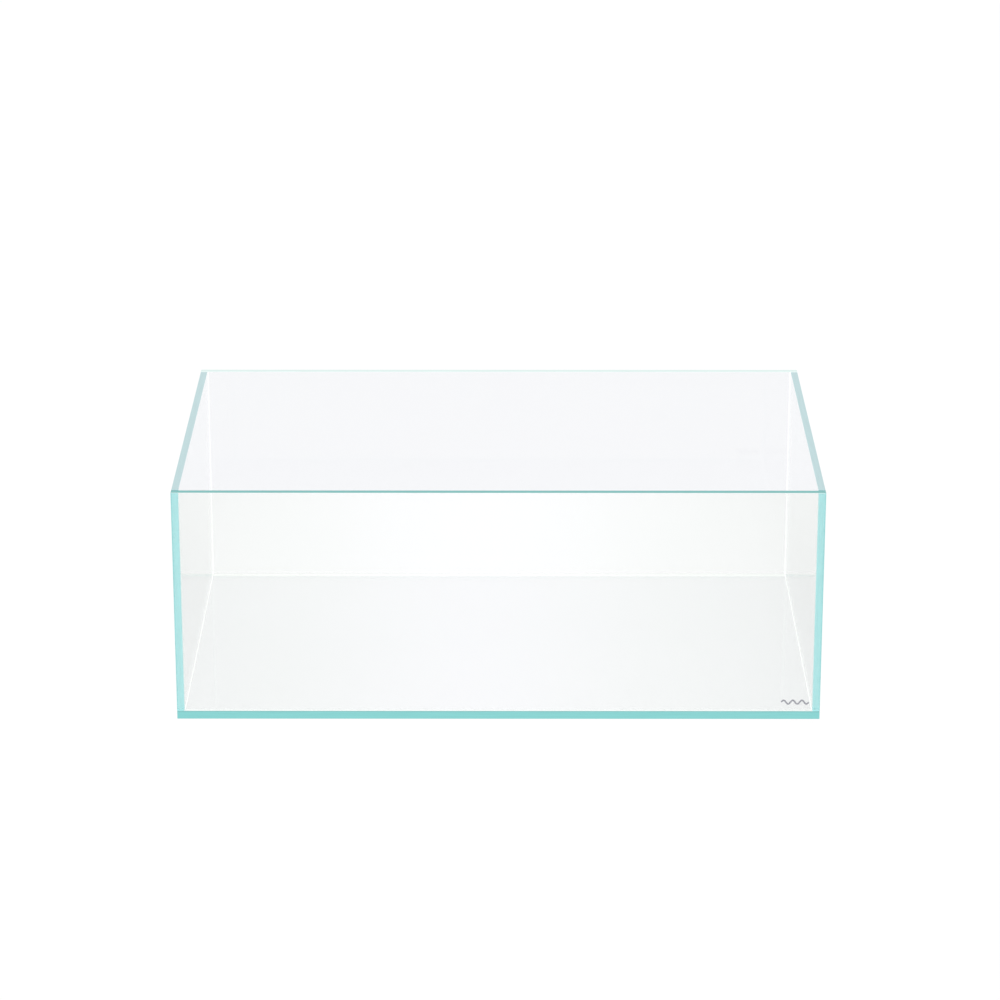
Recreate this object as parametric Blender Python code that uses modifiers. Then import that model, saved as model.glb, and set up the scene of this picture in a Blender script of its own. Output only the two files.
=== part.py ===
"""Rimless glass aquarium, 450 x 280 x 168 mm, bonded with clear silicone.

Five polished panes: a base under the whole footprint, front and back walls of full
length standing on it, and two side walls between them.  Every joint has a structural
bond line between the panes and a small concave sealing bead in its inner corner.

The origin is the centre of the underside.  +X runs along the length, the front is
towards -Y, and +Z is up.  Units are metres.
"""
import math

import bmesh
import bpy

# Driving dimensions
LENGTH = 0.450
DEPTH = 0.280
HEIGHT = 0.168
WALL = 0.005          # thickness of the four walls
BASE = 0.005          # thickness of the base
JOINT = 0.001         # width of the silicone joint between two panes
ARRIS = 0.0005        # ground and polished edge chamfer
BEAD_LEG = 0.0015     # leg of the concave sealing bead
BEAD_ARC_STEPS = 6
GAP = 0.0003          # clearance between neighbouring pieces

# Sizes that follow
WALL_FOOT = BASE + JOINT
WALL_HEIGHT = HEIGHT - WALL_FOOT
WALL_MID_Z = WALL_FOOT + WALL_HEIGHT / 2
SIDE_LENGTH = DEPTH - 2 * (WALL + JOINT)
INNER_X = LENGTH / 2 - WALL
INNER_Y = DEPTH / 2 - WALL
WALL_X = LENGTH / 2 - WALL / 2
WALL_Y = DEPTH / 2 - WALL / 2
SILICONE = JOINT - 2 * GAP
JOINT_MID_Y = INNER_Y - JOINT / 2
BEAD_TOP_Z = HEIGHT - ARRIS
BEAD_FOOT_Z = BASE + GAP


def clear_scene():
    """Remove every object that the file opened with."""
    for old in list(bpy.data.objects):
        bpy.data.objects.remove(old, do_unlink=True)


def make_collection(name):
    """Add a collection to the scene and return it."""
    collection = bpy.data.collections.new(name)
    bpy.context.scene.collection.children.link(collection)
    return collection


def glass(name, colour):
    """Clear low-iron glass with a faint tint."""
    material = bpy.data.materials.new(name)
    material.use_nodes = True
    shader = material.node_tree.nodes["Principled BSDF"]
    shader.inputs["Base Color"].default_value = (*colour, 1.0)
    shader.inputs["Roughness"].default_value = 0.02
    shader.inputs["Metallic"].default_value = 0.0
    shader.inputs["IOR"].default_value = 1.52
    shader.inputs["Transmission Weight"].default_value = 1.0
    return material


def silicone(name, roughness):
    """Cured clear silicone, milky where it is thin."""
    material = bpy.data.materials.new(name)
    material.use_nodes = True
    shader = material.node_tree.nodes["Principled BSDF"]
    shader.inputs["Base Color"].default_value = (0.88, 0.90, 0.90, 1.0)
    shader.inputs["Roughness"].default_value = roughness
    shader.inputs["Metallic"].default_value = 0.0
    shader.inputs["IOR"].default_value = 1.41
    shader.inputs["Transmission Weight"].default_value = 0.6
    return material


def block(name, collection, size, centre, material):
    """A box of the given size, with its scale applied."""
    bpy.ops.mesh.primitive_cube_add(size=1.0, location=centre)
    obj = bpy.context.active_object
    obj.name = name
    for vertex in obj.data.vertices:
        vertex.co.x *= size[0]
        vertex.co.y *= size[1]
        vertex.co.z *= size[2]
    obj.data.materials.append(material)
    for owner in list(obj.users_collection):
        owner.objects.unlink(obj)
    collection.objects.link(obj)
    return obj


def pane(name, collection, size, centre, material):
    """A glass pane: a box whose edges are ground to a small chamfer."""
    obj = block(name, collection, size, centre, material)
    bevel = obj.modifiers.new("Arris", "BEVEL")
    bevel.width = ARRIS
    bevel.segments = 1
    bevel.limit_method = "ANGLE"
    return obj


def bead_outline():
    """Section of a sealing bead: two legs from the corner, joined by a hollow arc."""
    points = [(0.0, 0.0), (BEAD_LEG, 0.0)]
    for step in range(1, BEAD_ARC_STEPS):
        angle = math.radians(90.0) * step / BEAD_ARC_STEPS
        points.append((BEAD_LEG * (1 - math.sin(angle)), BEAD_LEG * (1 - math.cos(angle))))
    points.append((0.0, BEAD_LEG))
    return points


def bead(name, collection, length, centre, turn, material):
    """A sealing bead: the section extruded along its joint.

    centre is the middle of the bead's corner line, and turn is the Euler rotation that
    takes the section's plane, with its legs along +X and +Y, to its place.
    """
    outline = bead_outline()
    curve = bpy.data.curves.new(name, "CURVE")
    curve.dimensions = "2D"
    curve.fill_mode = "BOTH"
    curve.extrude = length / 2
    spline = curve.splines.new("POLY")
    spline.points.add(len(outline) - 1)
    for point, (x, y) in zip(spline.points, outline):
        point.co = (x, y, 0.0, 1.0)
    spline.use_cyclic_u = True
    obj = bpy.data.objects.new(name, curve)
    obj.location = centre
    obj.rotation_euler = turn
    curve.materials.append(material)
    collection.objects.link(obj)
    return obj


def make_panes(collection):
    """The base, the two long walls over its edges, and the side walls between them."""
    base_glass = glass("base_glass", (0.80, 0.94, 0.93))
    front_glass = glass("front_glass", (0.88, 0.96, 0.95))
    back_glass = glass("back_glass", (0.90, 0.97, 0.96))
    left_glass = glass("left_glass", (0.86, 0.95, 0.95))
    right_glass = glass("right_glass", (0.86, 0.95, 0.95))
    long_wall = (LENGTH, WALL, WALL_HEIGHT)
    side_wall = (WALL, SIDE_LENGTH, WALL_HEIGHT)
    pane("base_pane", collection, (LENGTH, DEPTH, BASE), (0, 0, BASE / 2), base_glass)
    pane("front_pane", collection, long_wall, (0, -WALL_Y, WALL_MID_Z), front_glass)
    pane("back_pane", collection, long_wall, (0, WALL_Y, WALL_MID_Z), back_glass)
    pane("left_pane", collection, side_wall, (-WALL_X, 0, WALL_MID_Z), left_glass)
    pane("right_pane", collection, side_wall, (WALL_X, 0, WALL_MID_Z), right_glass)


def make_bonds(collection):
    """The structural silicone under each wall and between the walls at each corner."""
    mid_z = BASE + JOINT / 2
    long_bond = (LENGTH, WALL, SILICONE)
    side_bond = (WALL, DEPTH - 2 * (WALL + GAP), SILICONE)
    corner_bond = (WALL, SILICONE, WALL_HEIGHT)
    for end, sign in (("front", -1), ("back", 1)):
        material = silicone(end + "_bond_silicone", 0.35)
        block(end + "_base_bond", collection, long_bond, (0, sign * WALL_Y, mid_z), material)
    for side, sign in (("left", -1), ("right", 1)):
        material = silicone(side + "_bond_silicone", 0.35)
        block(side + "_base_bond", collection, side_bond, (sign * WALL_X, 0, mid_z), material)
    for end, y_sign in (("front", -1), ("back", 1)):
        for side, x_sign in (("left", -1), ("right", 1)):
            name = end + "_" + side + "_corner_bond"
            centre = (x_sign * WALL_X, y_sign * JOINT_MID_Y, WALL_MID_Z)
            block(name, collection, corner_bond, centre, silicone(name + "_silicone", 0.35))


def make_beads(collection):
    """The sealing beads round the floor and up the four inner corners."""
    right_angle = math.radians(90.0)
    long_bead = 2 * (INNER_X - GAP)
    side_bead = 2 * (INNER_Y - BEAD_LEG - 2 * GAP)
    corner_foot_z = BEAD_FOOT_Z + BEAD_LEG + GAP
    corner_bead = BEAD_TOP_Z - corner_foot_z
    corner_mid_z = (BEAD_TOP_Z + corner_foot_z) / 2
    x = INNER_X - GAP
    y = INNER_Y - GAP
    floor_beads = (
        ("front_floor_bead", long_bead, (0, -y), right_angle),
        ("right_floor_bead", side_bead, (x, 0), 2 * right_angle),
        ("back_floor_bead", long_bead, (0, y), 3 * right_angle),
        ("left_floor_bead", side_bead, (-x, 0), 0.0),
    )
    for name, length, (centre_x, centre_y), heading in floor_beads:
        centre = (centre_x, centre_y, BEAD_FOOT_Z)
        turn = (right_angle, 0.0, heading)
        bead(name, collection, length, centre, turn, silicone(name + "_silicone", 0.3))
    corners = (
        ("front_left", (-x, -y)),
        ("front_right", (x, -y)),
        ("back_right", (x, y)),
        ("back_left", (-x, y)),
    )
    for quarter, (corner, (centre_x, centre_y)) in enumerate(corners):
        name = corner + "_corner_bead"
        centre = (centre_x, centre_y, corner_mid_z)
        turn = (0.0, 0.0, quarter * right_angle)
        bead(name, collection, corner_bead, centre, turn, silicone(name + "_silicone", 0.3))


def main():
    """Build the whole tank."""
    clear_scene()
    aquarium = make_collection("aquarium")
    make_panes(aquarium)
    make_bonds(aquarium)
    make_beads(aquarium)


main()
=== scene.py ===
"""Looks of the rimless glass aquarium: clear low-iron panes, teal edges, clear silicone.

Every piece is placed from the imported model's own boxes, in metres.  The front is towards
-Y and the open top is +Z.
"""
import math

import bmesh
import bpy
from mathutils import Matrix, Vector


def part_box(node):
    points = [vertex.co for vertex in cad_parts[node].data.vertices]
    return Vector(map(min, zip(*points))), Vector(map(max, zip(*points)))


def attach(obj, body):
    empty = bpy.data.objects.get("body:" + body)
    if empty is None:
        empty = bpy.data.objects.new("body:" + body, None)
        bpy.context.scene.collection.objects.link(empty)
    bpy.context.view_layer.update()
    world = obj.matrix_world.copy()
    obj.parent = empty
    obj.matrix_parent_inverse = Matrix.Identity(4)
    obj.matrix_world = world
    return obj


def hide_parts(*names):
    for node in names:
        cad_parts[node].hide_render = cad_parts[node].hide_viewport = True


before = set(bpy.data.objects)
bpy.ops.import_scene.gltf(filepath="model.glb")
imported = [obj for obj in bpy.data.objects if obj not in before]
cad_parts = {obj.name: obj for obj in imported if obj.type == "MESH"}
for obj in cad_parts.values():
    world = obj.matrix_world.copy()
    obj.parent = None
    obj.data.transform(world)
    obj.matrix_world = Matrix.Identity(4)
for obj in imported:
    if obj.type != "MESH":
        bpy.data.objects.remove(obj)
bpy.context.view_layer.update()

# Edges and joints
ARRIS = 0.00025             # polished chamfer along the edges of a pane
BOND_CHAMFER = 0.0001       # and along the edges of a cured bond
CHAMFER_STEPS = 2
SKIN = 0.00002              # air left between silicone and glass, so that faces never coincide
BOND_INSET = 0.00005        # a cured bond lies this far inside the pane faces

# Sealing beads
BEAD_RISE = 0.0002          # height of the tooled floor beads up the glass
SIDE_BEAD_LEG = 0.0005      # how far they spread over the floor: along the side walls,
BACK_BEAD_LEG = 0.0031      # along the back wall
FRONT_BEAD_LEG = 0.0005     # and along the front wall
FRONT_CORNER_LEG = 0.0004   # both legs of the clear beads up the front corners
BACK_CORNER_LEG = 0.0007    # and of the milky ones up the back corners
BEAD_ARC_STEPS = 7
BEAD_STATIONS = 60
BEAD_WAVER = 0.03           # share by which a hand-tooled bead's legs vary along it
SLOW_WAVE = 21              # radians that the slower of its two waves turns through
FAST_WAVE = 47              # and the faster one
FAST_SHARE = 0.6            # height of the faster wave beside the slower one
CORNER_PHASE = 0.5          # sets the corner beads' waves off from the floor beads'

# Printed mark
MARK_LENGTH = 0.0192
MARK_SWING = 0.0014         # height of its crests over its middle line
MARK_LINE = 0.0012          # width of its line
MARK_WAVES = 3
MARK_STEPS = 72
MARK_INSET = 0.0122         # from the right wall's inner face to the middle of the mark
MARK_RISE = 0.0065          # and from the base's upper face
PRINT_FILM = 0.00003        # thickness of the ink

# Faces are told apart by the cosine between their normal and a direction
SQUARE_ON = 0.99            # a large face of a pane
LEANING = 0.8               # the half of a chamfer that leans to a large face
OUTWARD = 0.5               # an outer side of a bond, and the half of a chamfer that leans to it

# Noise in the materials, in object space
CLOUD_SCALE = 9.0           # unevenness in the tint of a pane
STREAK_SCALE = 900.0        # polishing marks across an edge
STREAK_STRETCH = 0.04       # and their scale along it, as a share of that
MILKY_SCALE = 400.0         # grain of milky silicone
CLEAR_SCALE = 250.0         # and of clear silicone
SPECK_SCALE = 2500.0        # specks in the ink
CLOUD_LOW = 0.996           # share of the tint where a pane is cloudiest
MILKY_LOW = 0.97            # share of the colour where milky silicone is darkest
CLEAR_LOW = 0.98            # and where clear silicone is
STREAK_SPREAD = 0.03        # share by which streaks darken and lighten an edge
BLEND_SPAN = (0.35, 0.65)   # noise values that a colour runs between
NUMBER_SPAN = (0.3, 0.7)    # and those that a number runs between

# Gloss
GLASS_IOR = 1.52
SILICONE_IOR = 1.41
EDGE_ROUGHNESS = (0.10, 0.20)
MILKY_ROUGHNESS = (0.25, 0.40)
INK_ROUGHNESS = 0.6

# Camera
LENS = 136.04               # millimetres, as is the sensor's width
SENSOR_WIDTH = 36
CAMERA_PLACE = (0.004635, -2.584805, 1.029915)
CAMERA_PITCH = 19.5288      # degrees down from level
CAMERA_TURN = 0.082         # and to the left
BOUNCES = 24                # enough to pass through all the panes and come back
MIRROR_BOUNCES = 16

# Lighting
WORLD_LEVEL = 1.02
KEY_LEVEL = 0.6
KEY_WIDTH = 40              # degrees that the soft key is across
KEY_TILT = 35               # degrees that it is tilted from overhead to the front
KEY_TURN = -20              # and turned to the left

# Floor
FLOOR_ALBEDO = 0.86
FLOOR_REACH = 13            # how far the floor runs each way
FLOOR_Z = -0.0002           # just under the tank, so that faces never coincide
SHEET_Z = 0.0004            # height of the light card and the side shades

# Light card before the tank
BRIGHT_X = -0.014           # where the front is brightest
BRIGHT_REACH = 0.15         # how far the front pane's painted brightening, a clearer middle tint, reaches from there
CARD_LEVEL = 1.45
CARD_HALF_WIDTH = 0.25
CARD_POWER = 3.0            # how late and steeply it dims towards its sides
CARD_GAP = 0.017            # from the tank, so that the base's edge mirrors none of it
CARD_FULL = 0.55            # the card fades from this far before the tank
CARD_REACH = 1.5            # and ends here

# Side shades
SHADE_GAP = 0.0005          # from the tank's side to the shade
SHADE_WIDTH = 0.045         # the shade is full this far out beside the tank,
SHADE_OUT = 0.15            # is gone this far out,
SHADE_BACK = 0.42           # and at this Y behind the tank
SHADE_FRONT = 0.09          # it is full to this far in front of the tank's middle
SHADE_SPLAY = 0.085         # behind the tank its inner edge turns this steeply outwards
SHADE_TINT = (0.820, 0.817, 0.812)

DIRECTIONS = {
    "left": Vector((-1, 0, 0)), "right": Vector((1, 0, 0)),
    "front": Vector((0, -1, 0)), "back": Vector((0, 1, 0)),
    "under": Vector((0, 0, -1)), "top": Vector((0, 0, 1)),
}


def corners_of(node):
    """The lowest and highest corners of a CAD node."""
    return [Vector(corner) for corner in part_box(node)]


front_low, front_high = corners_of("front_pane")
back_low, back_high = corners_of("back_pane")
left_low, left_high = corners_of("left_pane")
right_low, right_high = corners_of("right_pane")
BASE_TOP = corners_of("base_pane")[1].z
WALL_FOOT = front_low.z
RIM_Z = front_high.z


def srgb(red, green, blue):
    """A linear colour from 8-bit display values."""
    def linear(value):
        share = value / 255
        return share / 12.92 if share <= 0.04045 else ((share + 0.055) / 1.055) ** 2.4
    return (linear(red), linear(green), linear(blue))


def shaded(colour, by):
    """A colour scaled by a factor."""
    return tuple(channel * by for channel in colour)


# ---------------------------------------------------------------- material nodes

def new_material(name):
    """A material with one Principled shader."""
    material = bpy.data.materials.new(name)
    material.use_nodes = True
    return material, material.node_tree, material.node_tree.nodes["Principled BSDF"]


def bare_material(name):
    """A material with nothing but its output."""
    material = bpy.data.materials.new(name)
    material.use_nodes = True
    tree = material.node_tree
    tree.nodes.clear()
    return material, tree, tree.nodes.new("ShaderNodeOutputMaterial")


def noise(tree, scale, stretch=(1, 1, 1), detail=3.0):
    """A noise texture in object space, which may be stretched along an axis."""
    coords = tree.nodes.new("ShaderNodeTexCoord")
    mapping = tree.nodes.new("ShaderNodeMapping")
    mapping.inputs["Scale"].default_value = stretch
    texture = tree.nodes.new("ShaderNodeTexNoise")
    texture.inputs["Scale"].default_value = scale
    texture.inputs["Detail"].default_value = detail
    tree.links.new(coords.outputs["Object"], mapping.inputs["Vector"])
    tree.links.new(mapping.outputs["Vector"], texture.inputs["Vector"])
    return texture.outputs["Fac"]


def blend_colour(tree, factor, low, high):
    """A colour that runs from low to high over the middle of a noise factor."""
    ramp = tree.nodes.new("ShaderNodeValToRGB")
    for stop, place, colour in zip(ramp.color_ramp.elements, BLEND_SPAN, (low, high)):
        stop.position = place
        stop.color = (*colour, 1)
    tree.links.new(factor, ramp.inputs["Fac"])
    return ramp.outputs["Color"]


def spread(tree, factor, limits):
    """A number that runs between two limits over the middle of a noise factor."""
    span = tree.nodes.new("ShaderNodeMapRange")
    span.inputs["From Min"].default_value = NUMBER_SPAN[0]
    span.inputs["From Max"].default_value = NUMBER_SPAN[1]
    span.inputs["To Min"].default_value = limits[0]
    span.inputs["To Max"].default_value = limits[1]
    tree.links.new(factor, span.inputs["Value"])
    return span.outputs["Result"]


def maths(tree, operation, first, second=None):
    """One step of arithmetic on numbers and node outputs."""
    node = tree.nodes.new("ShaderNodeMath")
    node.operation = operation
    for socket, value in zip(node.inputs, (first, second)):
        if isinstance(value, (int, float)):
            socket.default_value = value
        elif value is not None:
            tree.links.new(value, socket)
    return node.outputs[0]


def coordinate(tree, axis):
    """A point's coordinate along an axis of its object."""
    coords = tree.nodes.new("ShaderNodeTexCoord")
    axes = tree.nodes.new("ShaderNodeSeparateXYZ")
    tree.links.new(coords.outputs["Object"], axes.inputs["Vector"])
    return axes.outputs[axis]


def distance(tree, axis, centre):
    """How far a point of the object is from a place on one of its axes."""
    return maths(tree, "ABSOLUTE", maths(tree, "SUBTRACT", coordinate(tree, axis), centre))


def fade(tree, value, start, stop):
    """1 where a value is below start, easing to 0 at stop."""
    ease = tree.nodes.new("ShaderNodeMapRange")
    ease.interpolation_type = "SMOOTHSTEP"
    ease.inputs["From Min"].default_value = start
    ease.inputs["From Max"].default_value = stop
    ease.inputs["To Min"].default_value = 1.0
    ease.inputs["To Max"].default_value = 0.0
    tree.links.new(value, ease.inputs["Value"])
    return ease.outputs["Result"]


def mixed(tree, share, colour, other):
    """A colour, or a node's, that gives way to another one as share goes from 0 to 1."""
    mix = tree.nodes.new("ShaderNodeMixRGB")
    tree.links.new(share, mix.inputs["Fac"])
    if isinstance(colour, tuple):
        mix.inputs["Color1"].default_value = (*colour, 1)
    else:
        tree.links.new(colour, mix.inputs["Color1"])
    mix.inputs["Color2"].default_value = (*other, 1)
    return mix.outputs["Color"]


# ---------------------------------------------------------------- materials

def clear_glass(name, tint, middle=None):
    """Float glass seen through its large faces, with a trace of unevenness in its tint.

    In the middle of a long pane the tint may be painted clearer: painted light, not a difference
    in the glass.
    """
    material, tree, shader = new_material(name)
    cloud = noise(tree, CLOUD_SCALE, detail=1.0)
    colour = blend_colour(tree, cloud, shaded(tint, CLOUD_LOW), tint)
    # Painted light: the front pane's middle is tinted clearer so that it looks more brightly
    # lit.
    if middle:
        near = fade(tree, distance(tree, "X", BRIGHT_X), 0.0, BRIGHT_REACH)
        colour = mixed(tree, near, colour, middle)
    tree.links.new(colour, shader.inputs["Base Color"])
    shader.inputs["Roughness"].default_value = 0.0
    shader.inputs["IOR"].default_value = GLASS_IOR
    shader.inputs["Transmission Weight"].default_value = 1.0
    return material


def glass_edge(name, colour, along):
    """A polished edge, teal from the depth of glass behind it and faintly streaked along it.
    Each edge's teal is also painted lighter or darker with the light and shade on it.

    Silicone whose side shows the tint of the glass beside it takes this too.
    """
    material, tree, shader = new_material(name)
    stretch = tuple(STREAK_STRETCH if axis == along else 1.0 for axis in "XYZ")
    streak = noise(tree, STREAK_SCALE, stretch)
    darker, lighter = shaded(colour, 1 - STREAK_SPREAD), shaded(colour, 1 + STREAK_SPREAD)
    tree.links.new(blend_colour(tree, streak, darker, lighter), shader.inputs["Base Color"])
    tree.links.new(spread(tree, streak, EDGE_ROUGHNESS), shader.inputs["Roughness"])
    shader.inputs["IOR"].default_value = GLASS_IOR
    return material


def milky_silicone(name, colour, glow=0.0, ends=None):
    """Tooled silicone, nearly white.  Its glow is painted light: an emission on a part that is
    no lamp.

    ends is its colour beyond the side walls' inner faces, in front of their teal edges.
    """
    material, tree, shader = new_material(name)
    grain = noise(tree, MILKY_SCALE, detail=2.0)
    base = blend_colour(tree, grain, shaded(colour, MILKY_LOW), colour)
    if ends:
        beyond = maths(tree, "GREATER_THAN", distance(tree, "X", 0.0), right_low.x)
        base = mixed(tree, beyond, base, ends)
    tree.links.new(base, shader.inputs["Base Color"])
    tree.links.new(spread(tree, grain, MILKY_ROUGHNESS), shader.inputs["Roughness"])
    shader.inputs["IOR"].default_value = SILICONE_IOR
    shader.inputs["Emission Color"].default_value = (1, 1, 1, 1)
    shader.inputs["Emission Strength"].default_value = glow
    return material


def clear_silicone(name, tint):
    """Thin clear silicone between or beside polished faces."""
    material, tree, shader = new_material(name)
    grain = noise(tree, CLEAR_SCALE, detail=2.0)
    base = blend_colour(tree, grain, shaded(tint, CLEAR_LOW), tint)
    tree.links.new(base, shader.inputs["Base Color"])
    shader.inputs["Roughness"].default_value = 0.0
    shader.inputs["IOR"].default_value = SILICONE_IOR
    shader.inputs["Transmission Weight"].default_value = 1.0
    return material


def print_ink(name):
    """Grey screen-printing ink."""
    material, tree, shader = new_material(name)
    speck = noise(tree, SPECK_SCALE)
    base = blend_colour(tree, speck, srgb(132, 132, 144), srgb(144, 144, 156))
    tree.links.new(base, shader.inputs["Base Color"])
    shader.inputs["Roughness"].default_value = INK_ROUGHNESS
    return material


# ---------------------------------------------------------------- mesh helpers

def add_object(name, builder, materials):
    """Link a new object whose mesh is the given bmesh, which is freed."""
    mesh = bpy.data.meshes.new(name)
    builder.to_mesh(mesh)
    builder.free()
    for material in materials:
        mesh.materials.append(material)
    obj = bpy.data.objects.new(name, mesh)
    bpy.context.scene.collection.objects.link(obj)
    return obj


def stand_for(piece, node):
    """Ride on the tank in place of a CAD node."""
    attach(piece, "root")
    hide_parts(node)


def let_light_through(piece):
    """Leave lamp light and soft bounced light unblocked, as thin clear glass does."""
    piece.visible_shadow = False
    piece.visible_diffuse = False


def hide_from_mirrors(piece):
    """Keep thin white silicone from showing doubled in the glass beside it."""
    piece.visible_glossy = False


def box_mesh(low, high, chamfer, sharp_foot=False):
    """A box between two corners with chamfered edges, but for its foot where that is sharp."""
    builder = bmesh.new()
    bmesh.ops.create_cube(builder, size=1.0)
    size = high - low
    middle = (high + low) / 2
    for vertex in builder.verts:
        vertex.co = Vector(place * span for place, span in zip(vertex.co, size)) + middle
    edges = [
        edge for edge in builder.edges
        if not sharp_foot or max(vertex.co.z for vertex in edge.verts) > middle.z]
    bmesh.ops.bevel(
        builder, geom=edges, offset=chamfer, segments=CHAMFER_STEPS, profile=0.5,
        affect="EDGES")
    return builder


def paint_faces(builder, wide, edge_index, arris_glint_index):
    """Give faces their material by direction.

    wide is the pair of directions of the large clear faces.  Chamfers take the colour of
    the narrow face beside them, but for the half of a rim's chamfer that leans to a wide
    face, which takes a near-white painted highlight: a glint along the arris.
    """
    for face in builder.faces:
        nearness = {name: face.normal.dot(way) for name, way in DIRECTIONS.items()}
        flatness = max(nearness[name] for name in wide)
        best = max((name for name in DIRECTIONS if name not in wide), key=nearness.get)
        if flatness > SQUARE_ON:
            face.material_index = 0
        elif flatness > LEANING and best == "top" and arris_glint_index:
            face.material_index = arris_glint_index
        else:
            face.material_index = edge_index[best]


def pane(node, wide, clear, edges, arris_glint=None):
    """A glass pane in the place of its CAD node.

    edges maps the directions of the four narrow faces to their materials.  The silicone
    under a wall fills the chamfers round its foot, so only the base has lower ones.
    """
    low, high = corners_of(node)
    materials = [clear]
    edge_index = {}
    for way, material in edges.items():
        if material not in materials:
            materials.append(material)
        edge_index[way] = materials.index(material)
    arris_glint_index = 0
    if arris_glint:
        arris_glint_index = len(materials)
        materials.append(arris_glint)
    builder = box_mesh(low, high, ARRIS, sharp_foot=node != "base_pane")
    paint_faces(builder, wide, edge_index, arris_glint_index)
    piece = add_object(node + "_glass", builder, materials)
    stand_for(piece, node)
    let_light_through(piece)


def bond(node, low, high, inner, outer=None, outer_ways=()):
    """A layer of silicone that fills the joint between two panes.

    Its outer sides have a material of their own where they show the tint of the glass.
    """
    builder = box_mesh(low, high, BOND_CHAMFER)
    materials = [inner]
    if outer:
        materials.append(outer)
        for face in builder.faces:
            leaning = max(face.normal.dot(DIRECTIONS[way]) for way in outer_ways)
            face.material_index = int(leaning > OUTWARD)
    piece = add_object(node + "_silicone", builder, materials)
    stand_for(piece, node)
    let_light_through(piece)


def fillet_section():
    """A hollow fillet's section, as shares of its two legs."""
    points = [(0.0, 0.0), (1.0, 0.0)]
    for step in range(1, BEAD_ARC_STEPS):
        angle = math.radians(90.0) * step / BEAD_ARC_STEPS
        points.append((1 - math.sin(angle), 1 - math.cos(angle)))
    points.append((0.0, 1.0))
    return points


def swelling(share, phase):
    """The factor on a hand-tooled bead's legs at a share of its length."""
    slow = math.sin(share * SLOW_WAVE + phase)
    fast = math.sin(share * FAST_WAVE + 2 * phase)
    return 1 + BEAD_WAVER * (slow + FAST_SHARE * fast) / (1 + FAST_SHARE)


def join_rings(builder, rings):
    """Join rings of vertices into one closed skin, capped at both ends."""
    count = len(rings[0])
    for ring, following in zip(rings, rings[1:]):
        for index in range(count):
            after = (index + 1) % count
            builder.faces.new((ring[index], ring[after], following[after], following[index]))
    builder.faces.new(rings[0])
    builder.faces.new(rings[-1])
    bmesh.ops.recalc_face_normals(builder, faces=list(builder.faces))


def bead(node, legs, corner, ways, length, end_insets, material, phase):
    """A sealing bead swept along a joint.

    corner is the joint's start.  ways are three directions: along the joint, and away
    from each of the two glass faces, which legs are measured in.  The tip of the first
    leg stops short of the joint's two ends by end_insets, so that beads meet in a mitre.
    """
    along, first_way, second_way = ways
    builder = bmesh.new()
    rings = []
    for station in range(BEAD_STATIONS + 1):
        share = station / BEAD_STATIONS
        swell = swelling(share, phase)
        ring = []
        for first, second in fillet_section():
            start = end_insets[0] * first
            end = length - end_insets[1] * first
            ring.append(builder.verts.new(
                corner + along * (start + (end - start) * share)
                + first_way * (legs[0] * first * swell)
                + second_way * (legs[1] * second * swell)))
        rings.append(ring)
    join_rings(builder, rings)
    piece = add_object(node + "_silicone", builder, [material])
    stand_for(piece, node)
    let_light_through(piece)
    hide_from_mirrors(piece)


# ---------------------------------------------------------------- the tank

def make_panes():
    """The five panes, each with the tints that its edges show."""
    # Each tint is partly the glass's own and partly painted shade: the five panes are one glass,
    # tinted differently to copy the light seen through each, darkest in the base.
    front_clear = clear_glass(
        "front_clear", (0.967, 0.979, 0.952), middle=(0.999, 1.0, 0.991))
    back_clear = clear_glass("back_clear", (0.925, 0.931, 0.950))
    side_clear = clear_glass("side_clear", (0.953, 0.962, 0.975))
    base_clear = clear_glass("base_clear", (0.869, 0.877, 0.900))
    front_rim = glass_edge("front_rim_edge", srgb(86, 164, 161), "X")
    back_rim = glass_edge("back_rim_edge", srgb(204, 224, 220), "X")
    side_rim = glass_edge("side_rim_edge", srgb(166, 196, 199), "Y")
    end_edge = glass_edge("long_wall_end_edge", srgb(140, 206, 206), "Z")
    front_joint_edge = glass_edge("side_wall_front_edge", srgb(156, 219, 223), "Z")
    # Painted highlight: a near-white glint on the half of each rim's chamfer that leans to a
    # large face.
    arris_glint = glass_edge("arris_painted_glint", srgb(236, 249, 248), "X")
    # The side walls' white joint faces glow faintly: painted light.
    joint = milky_silicone("side_wall_joint_silicone", srgb(246, 248, 250), glow=0.03)
    base_teal = srgb(126, 201, 199)
    base_edge = glass_edge("base_edge", base_teal, "X")
    base_side = glass_edge("base_side_edge", base_teal, "Y")
    front_foot = milky_silicone(
        "front_foot_silicone", srgb(236, 240, 240), ends=srgb(158, 224, 227))
    long_edges = {"left": end_edge, "right": end_edge}
    pane("front_pane", ("front", "back"), front_clear,
         {"top": front_rim, "under": front_foot, **long_edges}, arris_glint)
    pane("back_pane", ("front", "back"), back_clear,
         {"top": back_rim, "under": back_clear, **long_edges}, arris_glint)
    for node in ("left_pane", "right_pane"):
        pane(node, ("left", "right"), side_clear,
             {"top": side_rim, "under": joint,
              "front": front_joint_edge, "back": joint}, arris_glint)
    pane("base_pane", ("top", "under"), base_clear,
         {"front": base_edge, "back": base_edge, "left": base_side, "right": base_side})


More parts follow.
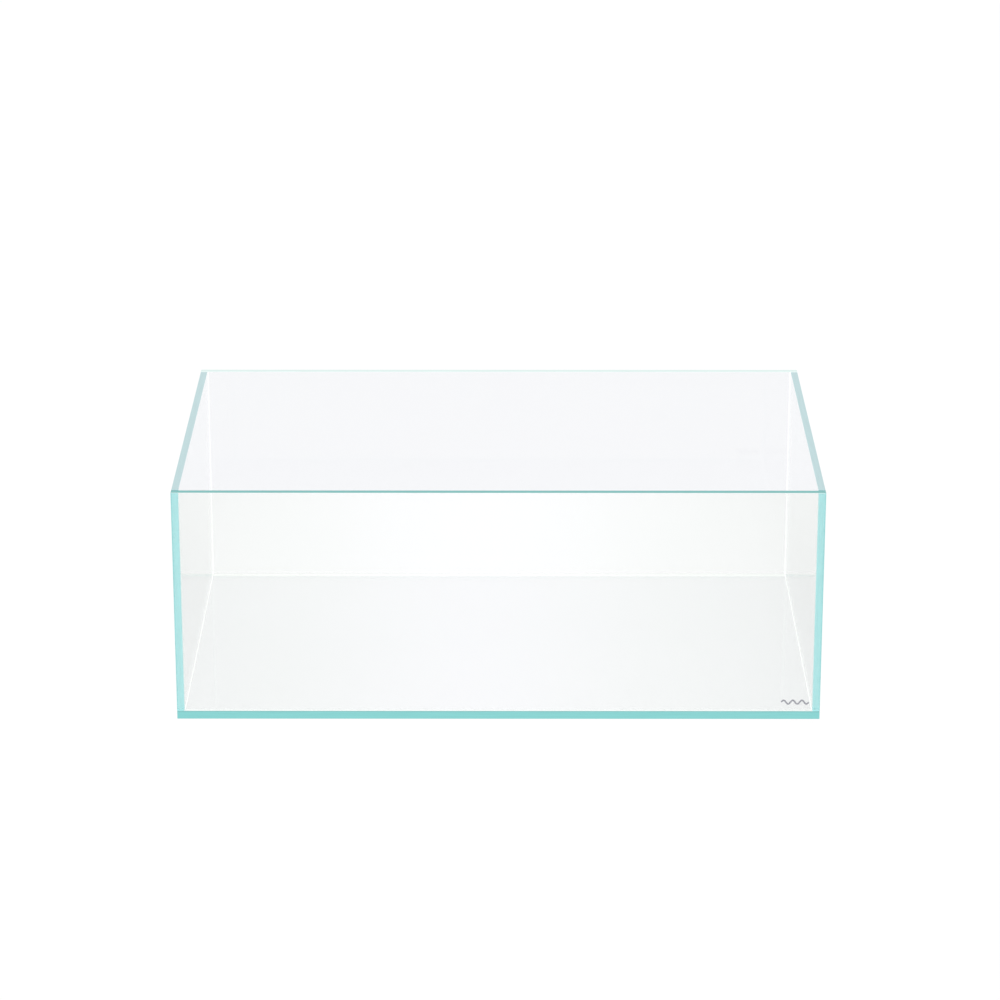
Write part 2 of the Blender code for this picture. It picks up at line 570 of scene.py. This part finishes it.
def make_bonds():
    """Bonds under the walls, teal on their outer sides, and those up the corners.

    The front corners' bonds are clear, and the back ones are teal seen through the back.
    """
    milky = milky_silicone("base_bond_silicone", srgb(233, 236, 235))
    outer = glass_edge("base_bond_outer_side", srgb(120, 187, 186), "X")
    clear = clear_silicone("corner_bond_silicone", (0.97, 0.985, 0.985))
    behind = glass_edge("back_corner_bond_back", srgb(156, 222, 225), "Z")
    foot, head = BASE_TOP + SKIN, WALL_FOOT - SKIN
    for end, (low, high) in (
            ("front", (front_low, front_high)), ("back", (back_low, back_high))):
        bond(end + "_base_bond",
             Vector((low.x + BOND_INSET, low.y + BOND_INSET, foot)),
             Vector((high.x - BOND_INSET, high.y - BOND_INSET, head)),
             milky, outer, (end, "left", "right"))
    for side, (low, high) in (
            ("left", (left_low, left_high)), ("right", (right_low, right_high))):
        bond(side + "_base_bond",
             Vector((low.x + BOND_INSET, front_high.y + SKIN, foot)),
             Vector((high.x - BOND_INSET, back_low.y - SKIN, head)),
             milky, outer, (side,))
        bond("front_" + side + "_corner_bond",
             Vector((low.x + BOND_INSET, front_high.y + SKIN, WALL_FOOT + SKIN)),
             Vector((high.x - BOND_INSET, low.y - SKIN, RIM_Z - ARRIS)), clear)
        bond("back_" + side + "_corner_bond",
             Vector((low.x + BOND_INSET, high.y + SKIN, WALL_FOOT + SKIN)),
             Vector((high.x - BOND_INSET, back_low.y - SKIN, RIM_Z - ARRIS)),
             milky, behind, ("back",))


def make_beads():
    """Sealing beads round the floor, mitred at the corners, and up the four corners."""
    # The front and side beads glow: painted light.  The back bead is the same silicone, dimmer
    # and without glow.
    milky = milky_silicone("bead_silicone", srgb(246, 249, 248), glow=0.1)
    back_milky = milky_silicone("back_bead_silicone", srgb(238, 241, 240))
    clear = clear_silicone("corner_bead_silicone", (0.985, 0.99, 0.99))
    x_low, x_high = left_high.x + SKIN, right_low.x - SKIN
    y_low, y_high = front_high.y + SKIN, back_low.y - SKIN
    z_low = BASE_TOP + SKIN
    east, north, up = DIRECTIONS["right"], DIRECTIONS["back"], DIRECTIONS["top"]
    long_run, side_run = x_high - x_low, y_high - y_low
    floor_runs = (
        ("front", FRONT_BEAD_LEG, milky, (x_low, y_low), east, north, long_run),
        ("right", SIDE_BEAD_LEG, milky, (x_high, y_low), north, -east, side_run),
        ("back", BACK_BEAD_LEG, back_milky, (x_high, y_high), -east, -north, long_run),
        ("left", SIDE_BEAD_LEG, milky, (x_low, y_high), -north, east, side_run),
    )
    legs = [run[1] for run in floor_runs]
    for turn, (side, leg, material, (x, y), along, inward, length) in enumerate(floor_runs):
        corner = Vector((x, y, z_low))
        neighbours = (legs[turn - 1], legs[(turn + 1) % len(legs)])
        bead(side + "_floor_bead", (leg, BEAD_RISE), corner, (along, inward, up),
             length, neighbours, material, turn)
    rise = RIM_Z - ARRIS - z_low
    corner_runs = (
        ("front_left", FRONT_CORNER_LEG, clear, (x_low, y_low), east, north),
        ("front_right", FRONT_CORNER_LEG, clear, (x_high, y_low), -east, north),
        ("back_right", BACK_CORNER_LEG, milky, (x_high, y_high), -east, -north),
        ("back_left", BACK_CORNER_LEG, milky, (x_low, y_high), east, -north),
    )
    for turn, (place, leg, material, (x, y), first_way, second_way) in enumerate(corner_runs):
        corner = Vector((x, y, z_low))
        bead(place + "_corner_bead", (leg, leg), corner, (up, first_way, second_way),
             rise, (0, 0), material, turn + CORNER_PHASE)


def make_mark():
    """A small generic wave printed low on the inner side of the front pane."""
    middle = Vector((
        right_low.x - MARK_INSET, front_high.y + SKIN + PRINT_FILM, BASE_TOP + MARK_RISE))
    film = Vector((0, PRINT_FILM, 0))
    builder = bmesh.new()
    rings = []
    for step in range(MARK_STEPS + 1):
        turn = 2 * math.pi * MARK_WAVES * step / MARK_STEPS
        slope = MARK_SWING * math.cos(turn) * 2 * math.pi * MARK_WAVES / MARK_LENGTH
        normal = Vector((-slope, 0, 1)).normalized() * MARK_LINE / 2
        along = MARK_LENGTH * (step / MARK_STEPS - 0.5)
        place = middle + Vector((along, 0, MARK_SWING * math.sin(turn)))
        section = (place + normal, place - normal, place - normal - film, place + normal - film)
        rings.append([builder.verts.new(corner) for corner in section])
    join_rings(builder, rings)
    piece = add_object("printed_wave_mark", builder, [print_ink("print_ink")])
    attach(piece, "root")
    piece.visible_shadow = False


# ---------------------------------------------------------------- studio

def rectangle(low, high):
    """The corners of a rectangle, from two opposite ones."""
    return (low, (high[0], low[1]), high, (low[0], high[1]))


def sheet(name, corners, height, material, unseen_by=()):
    """A flat part of the studio, hidden from some kinds of ray."""
    builder = bmesh.new()
    builder.faces.new([builder.verts.new((x, y, height)) for x, y in corners])
    piece = add_object(name, builder, [material])
    for ray in unseen_by:
        setattr(piece, "visible_" + ray, False)


def make_floor():
    """A plain white surface that runs on past the view."""
    material, _, shader = new_material("studio_floor")
    shader.inputs["Base Color"].default_value = (FLOOR_ALBEDO,) * 3 + (1,)
    shader.inputs["Roughness"].default_value = 1.0
    shader.inputs["Specular IOR Level"].default_value = 0.0
    corners = rectangle((-FLOOR_REACH, -FLOOR_REACH), (FLOOR_REACH, FLOOR_REACH))
    sheet("studio_floor", corners, FLOOR_Z, material)


def make_side_shades():
    """The tank's faint shade on the floor beside it, seen only through its glass."""
    material, tree, output = bare_material("side_shade")
    wall_x = right_high.x
    across = fade(
        tree, distance(tree, "X", 0.0), wall_x + SHADE_WIDTH, wall_x + SHADE_OUT)
    behind = fade(tree, coordinate(tree, "Y"), back_high.y, SHADE_BACK)
    forward = maths(tree, "SUBTRACT", 0.0, coordinate(tree, "Y"))
    before = fade(tree, forward, SHADE_FRONT, -front_low.y)
    depth = maths(tree, "MULTIPLY", across, maths(tree, "MULTIPLY", before, behind))
    through = tree.nodes.new("ShaderNodeBsdfTransparent")
    tree.links.new(mixed(tree, depth, (1.0, 1.0, 1.0), SHADE_TINT), through.inputs["Color"])
    tree.links.new(through.outputs[0], output.inputs["Surface"])
    near, far = wall_x + SHADE_GAP, wall_x + SHADE_OUT
    splayed = near + SHADE_SPLAY * (SHADE_BACK - back_high.y)
    outline = ((near, front_low.y), (near, back_high.y), (splayed, SHADE_BACK),
               (far, SHADE_BACK), (far, front_low.y))
    unseen_by = ("camera", "diffuse", "glossy", "volume_scatter", "shadow")
    for side, sign in (("left", -1), ("right", 1)):
        corners = [(sign * x, y) for x, y in outline]
        sheet("studio_" + side + "_shade", corners, SHEET_Z, material, unseen_by)


def make_light_card():
    """A softly lit card before the tank: mirrored in the glass and otherwise unseen."""
    material, tree, output = bare_material("light_card")
    material.cycles.emission_sampling = "NONE"
    reach = maths(tree, "DIVIDE", distance(tree, "X", BRIGHT_X), CARD_HALF_WIDTH)
    fall = maths(tree, "SUBTRACT", 1.0, maths(tree, "POWER", reach, CARD_POWER))
    outward = maths(tree, "SUBTRACT", front_low.y, coordinate(tree, "Y"))
    share = maths(tree, "MULTIPLY", fall, fade(tree, outward, CARD_FULL, CARD_REACH))
    glow = tree.nodes.new("ShaderNodeEmission")
    through = tree.nodes.new("ShaderNodeBsdfTransparent")
    both = tree.nodes.new("ShaderNodeAddShader")
    tree.links.new(maths(tree, "MULTIPLY", share, CARD_LEVEL), glow.inputs["Strength"])
    tree.links.new(glow.outputs[0], both.inputs[0])
    tree.links.new(through.outputs[0], both.inputs[1])
    tree.links.new(both.outputs[0], output.inputs["Surface"])
    corners = rectangle((BRIGHT_X - CARD_HALF_WIDTH, front_low.y - CARD_REACH),
                        (BRIGHT_X + CARD_HALF_WIDTH, front_low.y - CARD_GAP))
    unseen_by = ("camera", "diffuse", "transmission", "volume_scatter", "shadow")
    sheet("studio_light_card", corners, SHEET_Z, material, unseen_by)


def make_lights():
    """An even white surround and a broad soft key from above the camera's left."""
    world = bpy.data.worlds.new("studio_surround")
    world.use_nodes = True
    surround = world.node_tree.nodes["Background"]
    surround.inputs["Color"].default_value = (1, 1, 1, 1)
    surround.inputs["Strength"].default_value = WORLD_LEVEL
    bpy.context.scene.world = world
    light = bpy.data.lights.new("studio_key", "SUN")
    light.energy = KEY_LEVEL
    light.angle = math.radians(KEY_WIDTH)
    key = bpy.data.objects.new("studio_key", light)
    key.rotation_euler = (math.radians(KEY_TILT), 0, math.radians(KEY_TURN))
    bpy.context.scene.collection.objects.link(key)


def make_camera():
    """The camera, a plain view transform that keeps white at white, and deep bounces."""
    data = bpy.data.cameras.new("studio_camera")
    data.lens = LENS
    data.sensor_width = SENSOR_WIDTH
    camera = bpy.data.objects.new("studio_camera", data)
    camera.location = CAMERA_PLACE
    camera.rotation_euler = (math.radians(90 - CAMERA_PITCH), 0, math.radians(CAMERA_TURN))
    scene = bpy.context.scene
    scene.collection.objects.link(camera)
    scene.camera = camera
    scene.view_settings.view_transform = "Standard"
    scene.cycles.max_bounces = BOUNCES
    scene.cycles.transmission_bounces = BOUNCES
    scene.cycles.glossy_bounces = MIRROR_BOUNCES


make_camera()
make_panes()
make_bonds()
make_beads()
make_mark()
make_floor()
make_side_shades()
make_light_card()
make_lights()
